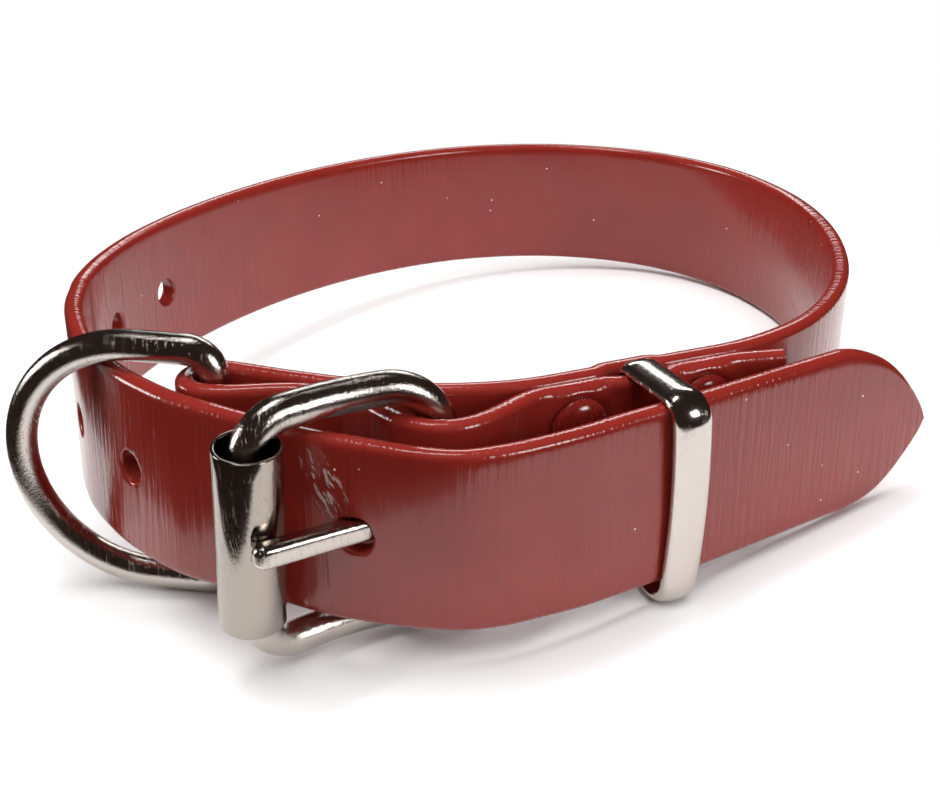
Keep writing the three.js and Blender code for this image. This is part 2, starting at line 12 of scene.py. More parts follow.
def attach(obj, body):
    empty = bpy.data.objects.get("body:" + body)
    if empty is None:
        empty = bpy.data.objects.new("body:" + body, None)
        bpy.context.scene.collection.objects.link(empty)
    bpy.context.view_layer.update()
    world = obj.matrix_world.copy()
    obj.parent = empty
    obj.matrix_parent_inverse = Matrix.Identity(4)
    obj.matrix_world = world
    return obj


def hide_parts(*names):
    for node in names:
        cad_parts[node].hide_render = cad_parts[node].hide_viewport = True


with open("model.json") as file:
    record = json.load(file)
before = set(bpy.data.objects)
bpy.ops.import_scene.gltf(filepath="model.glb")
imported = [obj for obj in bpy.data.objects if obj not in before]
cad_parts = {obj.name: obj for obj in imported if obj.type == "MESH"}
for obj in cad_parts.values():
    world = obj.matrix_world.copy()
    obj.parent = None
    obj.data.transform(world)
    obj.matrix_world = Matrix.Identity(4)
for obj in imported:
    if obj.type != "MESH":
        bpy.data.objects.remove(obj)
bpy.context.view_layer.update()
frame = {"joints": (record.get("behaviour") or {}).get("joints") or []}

# The collar lies a little askew on its surface, on the loose ring, the keeper and one edge.
# Its own upright is the pin line of the ring, and every piece is made in millimetres
# in that upright frame before it is laid down.
ring_joint = next(joint for joint in frame["joints"] if joint["name"] == "ring_swing")
ring_axis = Vector(ring_joint["axis"])
upright = Vector((-ring_axis.x, -ring_axis.y, ring_axis.z))
lay_turn = upright.rotation_difference(Vector((0, 0, 1))).to_matrix().to_4x4()


# The strap: one length of flat webbing dipped in a glossy brick red coating, with punched
# holes and a pointed tip. It is folded round the ring, riveted to itself and buckled, so
# it runs as two layers along the front and carries its own free end on the outside.
neck_width = 120.9
neck_depth = 122.2
strap_width = 25.4
strap_thickness = 2.7
edge_round = 1.15
layer_gap = 0.4
seat_gap = 0.3
tip_taper = 18.5
tongue_free = 25
hole_diameter = 4.5
hole_pitch = 17.6
hole_count = 7
hole_lead = 0.6

heel_bar_station = 29
keeper_station = 54.4
rivet_offset = 9.6
layer_end_offset = 20.4

heel_bar_stand_off = 2.3
heel_bump_run = 12.2
fold_run = 13.5
end_spring = 2.2
spring_curl = 1.5
end_clearance = 2.1
crest_clearance = 4.4
cross_clearance = 2
left_run = 36
keeper_slack = 6.3
pinch_run = 5.6

wire_diameter = 4.5
frame_length = 25
frame_window = 27.9
buckle_swing = 26.5
buckle_lean = 1.4
buckle_tip = 2
roller_outer = 8.4
roller_length = 25
roller_shift = 0.25
roller_tip = 2.4
ring_wire = 4.2
ring_sag = 1.7
rivet_cap = 8.4
rivet_shank = 3.2
keeper_width = 5.5
keeper_thickness = 1.4

neck_table = [  # across, back: shares of the neck's width and depth, from the ring's bar round
    (-0.272, -0.447),
    (-0.191, -0.473),
    (-0.109, -0.493),
    (-0.034, -0.5),
    (0.04, -0.489),
    (0.115, -0.459),
    (0.214, -0.415),
    (0.305, -0.371),
    (0.388, -0.297),
    (0.45, -0.192),
    (0.487, -0.07),
    (0.5, 0.078),
    (0.478, 0.221),
    (0.412, 0.356),
    (0.301, 0.454),
    (0.148, 0.5),
    (-0.01, 0.483),
    (-0.158, 0.412),
    (-0.295, 0.294),
    (-0.408, 0.138),
    (-0.483, -0.037),
    (-0.5, -0.2),
    (-0.456, -0.352),
    (-0.378, -0.416),
]
tip_table = [  # from the tip, height, droop: shares of the taper and of the strap's width
    (0, 0.03, 0.07),
    (0.006, 0.09, 0.07),
    (0.03, 0.17, 0.07),
    (0.1, 0.31, 0.066),
    (0.2, 0.47, 0.062),
    (0.33, 0.65, 0.055),
    (0.5, 0.82, 0.045),
    (0.67, 0.92, 0.03),
    (0.84, 0.98, 0.014),
    (1, 1, 0),
]
settle_table = [  # back, rise, lean: shares of the left run, the crossing's height, the width
    (0, 1, 0.06),
    (0.11, 0.92, 0.06),
    (0.32, 0.555, 0.06),
    (0.52, 0.255, 0.05),
    (0.67, 0.085, 0.035),
    (1, 0, 0.01),
]
fall_table = [  # way, fall, lean: shares of the stretch from the crest to the keeper
    (0.15, 0.11, -0.03),
    (0.3, 0.36, -0.015),
    (0.47, 0.6, 0.01),
    (0.68, 0.79, 0.025),
]

half_strap = strap_thickness / 2
mid_height = strap_width / 2
wire_radius = wire_diameter / 2


class Path:
    """A smooth curve through points, read by the length along it."""

    def __init__(self, points, closed=False, divisions=1500):
        self.points = [Vector(point) for point in points]
        self.closed = closed
        shares = np.linspace(0, 1, divisions + 1)
        places = np.array([self.at_share(share) for share in shares])
        steps = np.linalg.norm(np.diff(places, axis=0), axis=1)
        self.shares = shares
        self.lengths = np.concatenate([[0], np.cumsum(steps)])
        self.length = float(self.lengths[-1])

    def at_share(self, share):
        points, count = self.points, len(self.points)
        spans = count if self.closed else count - 1
        place = share * spans
        i = min(int(place), spans - 1)
        way = place - i
        b, c = points[i], points[(i + 1) % count]
        a = points[i - 1] if self.closed or i > 0 else 2 * b - c
        d = points[(i + 2) % count] if self.closed or i + 2 < count else 2 * c - b
        ta, tb, tc = (max((q - p).length, 1e-4) ** 0.5 for p, q in ((a, b), (b, c), (c, d)))
        start = ((b - a) / ta - (c - a) / (ta + tb) + (c - b) / tb) * tb
        end = ((c - b) / tb - (d - b) / (tb + tc) + (d - c) / tc) * tb
        square, cube = way * way, way**3
        return (
            b
            + start * way
            + (3 * (c - b) - 2 * start - end) * square
            + (2 * (b - c) + start + end) * cube
        )

    def at(self, length):
        if self.closed:
            length %= self.length
        return self.at_share(float(np.interp(length, self.lengths, self.shares)))

    def along(self, length):
        reach = 0.01
        low = length - reach if self.closed else max(length - reach, 0)
        high = length + reach if self.closed else min(length + reach, self.length)
        return (self.at(high) - self.at(low)).normalized()


def ease(way):
    """Eases from 1 at 0 to 0 at 1, level at both ends."""
    return (1 + math.cos(math.pi * min(max(way, 0), 1))) / 2


def mix(low, high, share):
    return low + (high - low) * share


neck_line = Path([(x * neck_width, y * neck_depth, 0) for x, y in neck_table], closed=True)


def neck_at(station):
    """The neck line's point, direction and outward normal."""
    along = neck_line.along(station)
    return neck_line.at(station), along, Vector((along.y, -along.x, 0))


def beside(station, out):
    """A point a given distance outside the neck line."""
    point, _, outward = neck_at(station)
    return point + outward * out


search_step = 0.1


def station_of(place):
    """The station abreast of a place, and how far outside the neck line the place is."""
    best = (math.inf, 0, 0)
    for station in np.arange(-left_run, keeper_station, search_step):
        point, along, outward = neck_at(station)
        offset = place - point
        best = min(best, (abs(offset.dot(along)), station, offset.dot(outward)))
    return best[1:]


lean_room = math.tan(math.radians(buckle_lean + buckle_tip)) * strap_width / 2
inner_out = half_strap
bedded_out = inner_out + strap_thickness + layer_gap
fold_radius = ring_wire / 2 + seat_gap + half_strap
fold_out = inner_out + 2 * fold_radius
heel_bar_out = strap_thickness + heel_bar_stand_off + wire_radius
heel_bump_out = heel_bar_out + wire_radius + seat_gap + lean_room + half_strap
keeper_room = keeper_thickness + 2 * seat_gap - layer_gap
keeper_half = keeper_width / 2 + seat_gap
outer_layer_end = keeper_station + layer_end_offset


def pinch(station):
    off = abs(station - keeper_station)
    return ease((off - keeper_half) / (pinch_run - keeper_half))


def inner_layer(station):
    return inner_out - pinch(station) * keeper_room / 2


def outer_layer(station):
    fold = (fold_out - bedded_out) * ease(station / fold_run)
    bump = (heel_bump_out - bedded_out) * ease(abs(station - heel_bar_station) / heel_bump_run)
    spring_start = keeper_station + rivet_offset + rivet_cap / 2 + seat_gap
    spring = max(0, (station - spring_start) / (outer_layer_end - spring_start))
    spread = pinch(station) * keeper_room / 2
    return bedded_out + fold + bump + spread + end_spring * spring**spring_curl


heel_bar = beside(heel_bar_station, heel_bar_out)
heel_along = neck_at(heel_bar_station)[1]
buckle_heading = math.atan2(-heel_along.y, -heel_along.x) + math.radians(buckle_swing)
buckle_frame_turn = (
    Matrix.Rotation(buckle_heading, 4, "Z")
    @ Matrix.Rotation(math.radians(buckle_lean), 4, "Y")
    @ Matrix.Rotation(math.radians(-buckle_tip), 4, "X")
)
buckle_place = Matrix.Translation((heel_bar.x, heel_bar.y, mid_height)) @ buckle_frame_turn
roller_x = frame_length + roller_shift
roller_centre = buckle_place @ Vector((roller_x, 0, 0))
roller_station, roller_out = station_of(Vector((roller_centre.x, roller_centre.y, 0)))

crest_station = heel_bar_station + 1
crest_out = heel_bump_out + strap_thickness + crest_clearance
roller_room = math.tan(math.radians(roller_tip + buckle_tip)) * roller_length / 2
under_roller = roller_out - roller_outer / 2 - seat_gap - half_strap - roller_room
cross_out = fold_out + half_strap + cross_clearance + half_strap
tongue_at_keeper = outer_layer(keeper_station) + strap_thickness + keeper_slack
tongue_at_end = outer_layer(outer_layer_end) + strap_thickness + end_clearance
tongue_lean = 0.03
crest_lean = -0.05
roller_lean = 0.01
drop_share = 0.5
settled_station = -1.25 * left_run


def leaning(station, out, lean):
    """A point beside the neck line, with the strap's lean there kept as its height."""
    point = beside(station, out)
    point.z = lean * strap_width
    return point


end_point = leaning(outer_layer_end, tongue_at_end, tongue_lean)
keeper_point = leaning(keeper_station, tongue_at_keeper, tongue_lean)
tip_direction = Vector((end_point.x - keeper_point.x, end_point.y - keeper_point.y, 0))
tip_direction.normalize()
tip_point = end_point + tip_direction * tongue_free
falls = [
    leaning(
        mix(crest_station, keeper_station, way), mix(crest_out, tongue_at_keeper, fall), lean
    )
    for way, fall, lean in reversed(fall_table)
]
settles = [
    leaning(-back * left_run, mix(inner_out, cross_out, rise), lean)
    for back, rise, lean in settle_table
]
outer_run = Path(
    [
        tip_point,
        end_point,
        keeper_point,
        *falls,
        leaning(crest_station, crest_out, crest_lean),
        leaning(
            (crest_station + roller_station) / 2, mix(under_roller, crest_out, drop_share), 0
        ),
        leaning(roller_station, under_roller, roller_lean),
        *settles,
        leaning(settled_station, inner_out, 0),
    ]
)

front_step = 0.75
loop_step = 1.8
strap_line = []
taper_steps = 44
for i in range(taper_steps):
    strap_line.append(outer_run.at(tip_taper * (i / taper_steps) ** 2))
for length in np.arange(tip_taper, outer_run.length, front_step):
    strap_line.append(outer_run.at(length))
loop_end = outer_layer_end + left_run / 2 - neck_line.length
for station in np.arange(settled_station, loop_end, -loop_step):
    strap_line.append(beside(station, inner_out))
for station in np.arange(loop_end + neck_line.length, front_step / 2, -front_step):
    strap_line.append(beside(station, inner_layer(station)))
fold_centre = beside(0, inner_out + fold_radius)
_, fold_along, fold_outward = neck_at(0)
fold_steps = 26
for i in range(fold_steps):
    turn = math.pi * i / fold_steps
    strap_line.append(
        fold_centre
        - fold_outward * fold_radius * math.cos(turn)
        - fold_along * fold_radius * math.sin(turn)
    )
for station in np.linspace(0, outer_layer_end, round(outer_layer_end / front_step)):
    strap_line.append(beside(station, outer_layer(station)))

strap_way = [0.0]
for before, point in zip(strap_line, strap_line[1:]):
    strap_way.append(strap_way[-1] + math.hypot(point.x - before.x, point.y - before.y))

ring_origin = Vector((fold_centre.x, fold_centre.y, mid_height - ring_sag))
lay_shift = Vector(ring_joint["pos_m"]) * 1000 - lay_turn @ ring_origin
lay_down = Matrix.Scale(0.001, 4) @ Matrix.Translation(lay_shift) @ lay_turn


def make_mesh(name, points, faces, uvs=None, place=Matrix.Identity(4)):
    """A mesh from points in the collar's upright millimetres, laid down in metres."""
    mesh = bpy.data.meshes.new(name)
    mesh.from_pydata([tuple(point) for point in points], [], faces)
    if uvs is not None:
        layer = mesh.uv_layers.new(name="strap_way")
        corners = np.empty(len(mesh.loops), dtype=np.int32)
        mesh.loops.foreach_get("vertex_index", corners)
        layer.data.foreach_set("uv", np.array(uvs, dtype=np.float32)[corners].ravel())
    mesh.transform(lay_down @ place)
    piece = bpy.data.objects.new(name, mesh)
    bpy.context.scene.collection.objects.link(piece)
    return piece


fullest_corner = 0.49


def rounded_section(width, height, corner, arc_steps, width_steps=1, height_steps=1):
    """The outline of a rounded rectangle, as points across and up, anticlockwise."""
    corner = min(corner, fullest_corner * width, fullest_corner * height)
    arcs = []
    for quarter in range(4):
        right = 1 if quarter in (0, 3) else -1
        top = 1 if quarter < 2 else -1
        arc = []
        for step in range(arc_steps + 1):
            turn = (quarter + step / arc_steps) * math.pi / 2
            arc.append(
                (
                    right * (width / 2 - corner) + corner * math.cos(turn),
                    top * (height / 2 - corner) + corner * math.sin(turn),
                )
            )
        arcs.append(arc)
    points = []
    for quarter, arc in enumerate(arcs):
        points += arc
        last, following = arc[-1], arcs[(quarter + 1) % 4][0]
        steps = width_steps if quarter % 2 == 0 else height_steps
        for step in range(1, steps):
            share = step / steps
            points.append((mix(last[0], following[0], share), mix(last[1], following[1], share)))
    return points


def loft_faces(rings, sides, closed):
    """Quads over a row of rings, with flat caps where the row is open."""
    faces = []
    for i in range(rings if closed else rings - 1):
        here, following = i * sides, ((i + 1) % rings) * sides
        for j in range(sides):
            k = (j + 1) % sides
            faces.append((here + j, here + k, following + k, following + j))
    if not closed:
        faces.append(tuple(reversed(range(sides))))
        last = (rings - 1) * sides
        faces.append(tuple(range(last, last + sides)))
    return faces


def facing(point, direction):
    """A placement with its Z along a direction."""
    turn = Vector((0, 0, 1)).rotation_difference(direction).to_matrix().to_4x4()
    return Matrix.Translation(point) @ turn


rivet_inset = 5.8
rivet_grip = bedded_out + half_strap + 2 * seat_gap
rivet_places = []
for side in (-1, 1):
    for height in (strap_width - rivet_inset, rivet_inset):
        point, _, outward = neck_at(keeper_station + side * rivet_offset)
        point.z = height
        rivet_places.append(facing(point, outward))

swell_height = 0.4
swell_margin = 0.75
swell_radius = rivet_cap / 2 + swell_margin
swell_run = 0.8
swell_tail = 3


def swollen(place):
    """Lifts the outer layer in a soft lip round each rivet that presses into it."""
    for rivet_place in rivet_places:
        local = rivet_place.inverted() @ place
        if bedded_out < local.z < rivet_grip + swell_height:
            off = (math.hypot(local.x, local.y) - swell_radius) / swell_run
            if off < swell_tail:
                lift = swell_height * math.exp(-(off**2)) if off > 0 else swell_height * ease(-off)
                return place + rivet_place.to_3x3() @ Vector((0, 0, lift))
    return place


tip_height = Path([(row[0], row[1], 0) for row in tip_table], divisions=400)
tip_shares = [tip_height.at_share(share).x for share in tip_height.shares]
tip_heights = [tip_height.at_share(share).y for share in tip_height.shares]
droop_shares = [row[0] for row in tip_table]
droops = [row[2] for row in tip_table]
strap_points, strap_uvs = [], []
uv_unit = 100
face_rows = 24
edge_steps = 5
riveted_from = strap_way[-1] - 2 * layer_end_offset
for i, point in enumerate(strap_line):
    before = strap_line[max(i - 1, 0)]
    after = strap_line[min(i + 1, len(strap_line) - 1)]
    along = Vector((after.x - before.x, after.y - before.y, 0)).normalized()
    across = Vector((-along.y, along.x, 0))
    from_tip = min(strap_way[i] / tip_taper, 1)
    height = strap_width * min(float(np.interp(from_tip, tip_shares, tip_heights)), 1)
    droop = strap_width * float(np.interp(from_tip, droop_shares, droops))
    section = rounded_section(strap_thickness, height, edge_round, edge_steps, 1, face_rows)
    for side, up in section:
        lean_off = -point.z * up / strap_width
        place = Vector((point.x, point.y, mid_height + up - droop))
        place += across * (side + lean_off)
        strap_points.append(swollen(place) if strap_way[i] > riveted_from else place)
        strap_uvs.append((strap_way[i] / uv_unit, (up - droop) / uv_unit))
section_count = len(section)
strap = make_mesh(
    "strap_webbing",
    strap_points,
    loft_faces(len(strap_line), section_count, False),
    strap_uvs,
)


def strap_at(way):
    """The strap's middle and its across direction, a given way from the tip."""
    i = int(np.searchsorted(strap_way, way))
    share = (way - strap_way[i - 1]) / (strap_way[i] - strap_way[i - 1])
    before, after = strap_line[i - 1], strap_line[i]
    along = Vector((after.x - before.x, after.y - before.y, 0)).normalized()
    point = before.lerp(after, share)
    point.z = mid_height
    return point, Vector((along.y, -along.x, 0))


def solid_of_revolution(profile, steps):
    """A profile of (radius, height) that starts and ends on the axis, turned about Z."""
    inner = profile[1:-1]
    points, faces = [], []
    for i in range(steps):
        turn = 2 * math.pi * i / steps
        points += [
            Vector((radius * math.cos(turn), radius * math.sin(turn), height))
            for radius, height in inner
        ]
    count = len(inner)
    for i in range(steps):
        here, following = i * count, ((i + 1) % steps) * count
        for j in range(count - 1):
            faces.append((here + j, following + j, following + j + 1, here + j + 1))
    first, last = len(points), len(points) + 1
    points += [Vector((0, 0, profile[0][1])), Vector((0, 0, profile[-1][1]))]
    for i in range(steps):
        here, following = i * count, ((i + 1) % steps) * count
        faces.append((first, following, here))
        faces.append((last, here + count - 1, following + count - 1))
    return points, faces


# The punch leaves a softly rounded rim on both faces.
rim_round = 0.55
rim_steps = 6


def punch_profile(radius):
    rows = [(0, -2 * strap_thickness), (radius + rim_round, -2 * strap_thickness)]
    for i in range(rim_steps + 1):
        turn = math.pi / 2 * i / rim_steps
        rows.append(
            (
                radius + rim_round * (1 - math.sin(turn)),
                -half_strap + rim_round * (1 - math.cos(turn)),
            )
        )
    rows += [(row_radius, -row_height) for row_radius, row_height in reversed(rows[1:])]
    rows.append((0, 2 * strap_thickness))
    return rows


prong_width = 3.1
prong_thickness = 2.7
prong_arch = -0.3
prong_rise = 0.5
prong_skew = 3.4
prong_hook = 0.16
prong_eye_wall = 1.4
prong_tip_past = 1.6
eye_radius = wire_radius + seat_gap
seat_height = roller_outer / 2 + seat_gap + prong_thickness / 2
prong_turn = Matrix.Rotation(math.radians(-prong_skew), 4, "Y")


def prong_height(x):
    """The height of the prong's middle over the heel bar, a given way towards its tip."""
    way = x / roller_x
    line = mix(eye_radius + prong_thickness / 2, seat_height, way)
    arch = prong_arch * math.sin(math.pi * min(max(way, 0), 1))
    return line + arch - prong_hook * max(0, x - roller_x) ** 2


slope_step = 0.01


def prong_normal(x):
    slope = (prong_height(x + slope_step) - prong_height(x)) / slope_step
    return Vector((-slope, 1, 0)).normalized()


crossing_margin = 0.2


def crossing_way():
    """The way along the strap where the prong comes through it."""
    back = buckle_place.inverted()
    best = (math.inf, 0)
    for point, way in zip(strap_line, strap_way):
        local = back @ Vector((point.x, point.y, mid_height))
        inside = crossing_margin < local.x / roller_x < 1 - crossing_margin
        if inside and way < outer_run.length:
            best = min(best, (abs(local.y - prong_height(local.x)), way))
    return best[1]


def cutter(name, points, faces, place):
    tool = make_mesh(name, points, faces, [(0, 0)] * len(points), place)
    shaper = bmesh.new()
    shaper.from_mesh(tool.data)
    bmesh.ops.recalc_face_normals(shaper, faces=shaper.faces)
    shaper.to_mesh(tool.data)
    shaper.free()
    return tool


cutters = []
hole_sides = 40
first_hole = crossing_way() + hole_lead
for i in range(hole_count):
    point, across = strap_at(first_hole + i * hole_pitch)
    shape = solid_of_revolution(punch_profile(hole_diameter / 2), hole_sides)
    cutters.append(cutter(f"punch_{i}", *shape, facing(point, across)))

drill_radius = rivet_shank / 2 + seat_gap
drill_reach = strap_thickness
drill_sides = 20
for i, place in enumerate(rivet_places):
    rows = [
        (0, -drill_reach),
        (drill_radius, -drill_reach),
        (drill_radius, rivet_grip + drill_reach / 2),
        (0, rivet_grip + drill_reach / 2),
    ]
    cutters.append(cutter(f"drill_{i}", *solid_of_revolution(rows, drill_sides), place))

# The slot for the prong clears its arm, the root of its curl and the eye round the heel bar.
slot_points = []
slot_steps = 24
slot_start = -2.2
slot_corner = 1.2
slot_corner_steps = 4
for i in range(slot_steps + 1):
    x = mix(slot_start, roller_x + prong_tip_past, i / slot_steps)
    normal = prong_normal(x)
    middle = Vector((x, prong_height(x), 0))
    section = rounded_section(
        prong_thickness + 2 * seat_gap,
        prong_width + 2 * seat_gap,
        slot_corner,
        slot_corner_steps,
    )
    raised = middle + Vector((0, 0, prong_rise))
    slot_points += [raised + normal * side + Vector((0, 0, up)) for side, up in section]
cutters.append(
    cutter(
        "slot",
        slot_points,
        loft_faces(slot_steps + 1, len(section), False),
        buckle_place @ prong_turn,
    )
)
eye_room = eye_radius + prong_eye_wall + seat_gap
eye_half = prong_width / 2 + seat_gap
eye_sides = 48
eye_rows = [(0, -eye_half), (eye_room, -eye_half), (eye_room, eye_half), (0, eye_half)]
cutters.append(
    cutter(
        "eye",
        *solid_of_revolution(eye_rows, eye_sides),
        buckle_place @ Matrix.Translation((0, 0, prong_rise)),
    )
)


def apply_modifiers(piece):
    """Turns a piece with its modifiers into a plain mesh."""
    bpy.context.view_layer.update()
    evaluated = piece.evaluated_get(bpy.context.evaluated_depsgraph_get())
    mesh = bpy.data.meshes.new_from_object(evaluated)
    piece.modifiers.clear()
    piece.data = mesh


for tool in cutters:
    cut = strap.modifiers.new("cut", "BOOLEAN")
    cut.operation = "DIFFERENCE"
    cut.solver = "EXACT"
    cut.object = tool
apply_modifiers(strap)
for tool in cutters:
    bpy.data.objects.remove(tool)


def smooth(piece, sharp_degrees=40):
    """Smooth shading, with real edges kept sharp."""
    piece.data.shade_smooth()
    piece.data.set_sharp_from_angle(angle=math.radians(sharp_degrees))


smooth(strap, 50)


def from_hex(code):
    """An sRGB hex colour as linear red, green, blue and alpha."""
    parts = [int(code[i : i + 2], 16) / 255 for i in (1, 3, 5)]
    linear = [p / 12.92 if p <= 0.04045 else ((p + 0.055) / 1.055) ** 2.4 for p in parts]
    return (*linear, 1)


def add_node(tree, kind, inputs=None, **settings):
    """Adds a node with its settings; an input is a value or the socket that feeds it."""
    node = tree.nodes.new(kind)
    for key, value in settings.items():
        setattr(node, key, value)
    for key, value in (inputs or {}).items():
        if isinstance(value, bpy.types.NodeSocket):
            tree.links.new(value, node.inputs[key])
        else:
            node.inputs[key].default_value = value
    return node


def new_material(name):
    material = bpy.data.materials.new(name)
    material.use_nodes = True
    shader = material.node_tree.nodes["Principled BSDF"]
    return material, material.node_tree, shader


# Thermoplastic polyurethane coating over polyester webbing, extruded hot over the weave:
# a deep even red under a wet gloss, with the weave's cross threads showing faintly as ribs.
coating, tree, shader = new_material("tpu_coated_webbing")
way = add_node(tree, "ShaderNodeUVMap", uv_map="strap_way").outputs["UV"]
spot = add_node(tree, "ShaderNodeTexCoord").outputs["Object"]
object_unit = 1000
noise = {}
for key, source, size_mm, unit, detail, roughness in (
    ("cloudy", spot, (14, 14, 14), object_unit, 3, 0.5),
    ("fine", spot, (0.7, 0.7, 0.7), object_unit, 2, 0.5),
    ("ribs", way, (0.8, 11, 1), uv_unit, 2, 0.5),
    ("rib_patch", way, (22, 30, 1), uv_unit, 1, 0.5),
    ("dimple", spot, (2.4, 2.4, 2.4), object_unit, 2, 0.5),
):
    scale = tuple(unit / size for size in size_mm)
    spread = add_node(tree, "ShaderNodeMapping", {"Vector": source, "Scale": scale})
    noise[key] = add_node(
        tree,
        "ShaderNodeTexNoise",
        {
            "Vector": spread.outputs["Vector"],
            "Scale": 1.0,
            "Detail": detail,
            "Roughness": roughness,
        },
    ).outputs["Fac"]
dust_pitch = 3.2
dust_cells = add_node(
    tree,
    "ShaderNodeTexVoronoi",
    {"Vector": spot, "Scale": object_unit / dust_pitch, "Randomness": 1.0},
)
dust_pick = add_node(
    tree, "ShaderNodeSeparateColor", {"Color": dust_cells.outputs["Color"]}
).outputs["Red"]
# The pull of the prong has crazed the coating in a patch above its hole. Its crazed lines are raised
# in relief and also painted pale, as a painted highlight along them.
crazed_way, crazed_up, crazed_lean = first_hole + 3.4, 5.8, -25
crazed_half_width, crazed_half_height = 2.6, 7
patch_place = add_node(
    tree,
    "ShaderNodeMapping",
    {
        "Vector": way,
        "Location": (crazed_way / uv_unit, crazed_up / uv_unit, 0),
        "Rotation": (0, 0, math.radians(crazed_lean)),
        "Scale": (crazed_half_width / uv_unit, crazed_half_height / uv_unit, 1),
    },
    vector_type="TEXTURE",
).outputs["Vector"]
patch_off = add_node(
    tree, "ShaderNodeVectorMath", {0: patch_place}, operation="LENGTH"
).outputs["Value"]
craze_spread = add_node(
    tree, "ShaderNodeMapping", {"Vector": patch_place, "Scale": (1 / 0.32, 1 / 0.4, 1)}
)
craze = add_node(
    tree,
    "ShaderNodeTexNoise",
    {"Vector": craze_spread.outputs["Vector"], "Scale": 1.0, "Detail": 3, "Roughness": 0.65},
)
share = {}
for key, value, low, high, to_low, to_high in (
    ("cloudy", noise["cloudy"], 0.3, 0.7, 0.0, 1.0),
    ("fine", noise["fine"], 0.2, 0.8, 0.0, 0.3),
    ("dust_near", dust_cells.outputs["Distance"], 0.035, 0.06, 1.0, 0.0),
    ("dust_pick", dust_pick, 0.72, 0.76, 0.0, 1.0),
    ("rib_patch", noise["rib_patch"], 0.35, 0.65, 0.35, 1.0),
    ("craze", craze.outputs["Fac"], 0.53, 0.6, 0.0, 1.0),
    ("patch", patch_off, 0.5, 1.0, 1.0, 0.0),
    ("gloss", noise["cloudy"], 0.2, 0.8, 0.15, 0.21),
):
    share[key] = add_node(
        tree,
        "ShaderNodeMapRange",
        {"Value": value, "From Min": low, "From Max": high, "To Min": to_low, "To Max": to_high},
        interpolation_type="SMOOTHSTEP",
    ).outputs["Result"]
for key, first, second in (
    ("dust", share["dust_near"], share["dust_pick"]),
    ("rib_height", noise["ribs"], share["rib_patch"]),
    ("craze_relief_and_highlight", share["craze"], share["patch"]),
):
    share[key] = add_node(
        tree, "ShaderNodeMath", {0: first, 1: second}, operation="MULTIPLY"
    ).outputs["Value"]
colour = from_hex("#83231c")
for key, code in (
    ("cloudy", "#8a271f"),
    ("fine", "#7a2622"),
    ("dust", "#e8d8cf"),
    # The pale craze colour is a painted highlight on the crazed lines.
    ("craze_relief_and_highlight", "#c9a59c"),
):
    colour = add_node(
        tree,
        "ShaderNodeMix",
        {0: share[key], 6: colour, 7: from_hex(code)},
        data_type="RGBA",
    ).outputs[2]
tree.links.new(colour, shader.inputs["Base Color"])
relief = None
for height, depth_mm in (
    (noise["dimple"], 0.02),
    (share["rib_height"], 0.2),
    (share["craze_relief_and_highlight"], 0.5),
):
    inputs = {"Height": height, "Distance": depth_mm / 1000, "Strength": 1.0}
    if relief is not None:
        inputs["Normal"] = relief
    relief = add_node(tree, "ShaderNodeBump", inputs).outputs["Normal"]
tree.links.new(relief, shader.inputs["Normal"])
tree.links.new(share["gloss"], shader.inputs["Roughness"])
shader.inputs["IOR"].default_value = 1.48
shader.inputs["Coat Weight"].default_value = 0.2
shader.inputs["Coat Roughness"].default_value = 0.08
strap.data.materials.clear()
strap.data.materials.append(coating)
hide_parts("strap")
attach(strap, "collar")


# The buckle's frame: round steel wire bent to a rectangle, with a gentle bow so that it
# follows the neck, butt-welded on the heel bar, then nickel plated and polished.
front_corner = 5.2
heel_corner = 7
frame_bow = 1.6
frame_step = 0.8
corner_steps = 24


def cornered(length, half, start_corner, end_corner, step):
    """A rounded rectangle in the XZ plane from x 0 to length, as evenly spaced points."""
    corners = [
        (length - end_corner, -half + end_corner, end_corner, -90),
        (length - end_corner, half - end_corner, end_corner, 0),
        (start_corner, half - start_corner, start_corner, 90),
        (start_corner, -half + start_corner, start_corner, 180),
    ]
    outline = []
    for x, z, radius, start in corners:
        for i in range(corner_steps + 1):
            turn = math.radians(start + 90 * i / corner_steps)
            outline.append((x + radius * math.cos(turn), z + radius * math.sin(turn)))
    outline.append(outline[0])
    outline = np.array(outline)
    lengths = np.concatenate([[0], np.cumsum(np.linalg.norm(np.diff(outline, axis=0), axis=1))])
    count = round(lengths[-1] / step)
    even = np.arange(count) * lengths[-1] / count
    return np.stack([np.interp(even, lengths, outline[:, k]) for k in (0, 1)], axis=1)


wire_tree = bpy.data.node_groups.new("bent_wire", "GeometryNodeTree")
for socket, kind in (
    ("Path", "NodeSocketGeometry"),
    ("Wire radius", "NodeSocketFloat"),
    ("Sides", "NodeSocketInt"),
    ("Finish", "NodeSocketMaterial"),
):
    wire_tree.interface.new_socket(socket, in_out="INPUT", socket_type=kind)
wire_tree.interface.new_socket("Wire", in_out="OUTPUT", socket_type="NodeSocketGeometry")
wire_in = add_node(wire_tree, "NodeGroupInput")
wire_line = add_node(wire_tree, "GeometryNodeMeshToCurve", {"Mesh": wire_in.outputs["Path"]})
wire_circle = add_node(
    wire_tree,
    "GeometryNodeCurvePrimitiveCircle",
    {"Resolution": wire_in.outputs["Sides"], "Radius": wire_in.outputs["Wire radius"]},
)
wire_skin = add_node(
    wire_tree,
    "GeometryNodeCurveToMesh",
    {
        "Curve": wire_line.outputs["Curve"],
        "Profile Curve": wire_circle.outputs["Curve"],
    },
)
wire_smooth = add_node(
    wire_tree, "GeometryNodeSetShadeSmooth", {"Geometry": wire_skin.outputs["Mesh"]}
)
wire_real = add_node(
    wire_tree, "GeometryNodeRealizeInstances", {"Geometry": wire_smooth.outputs["Geometry"]}
)
wire_finish = add_node(
    wire_tree,
    "GeometryNodeSetMaterial",
    {"Geometry": wire_real.outputs["Geometry"], "Material": wire_in.outputs["Finish"]},
)
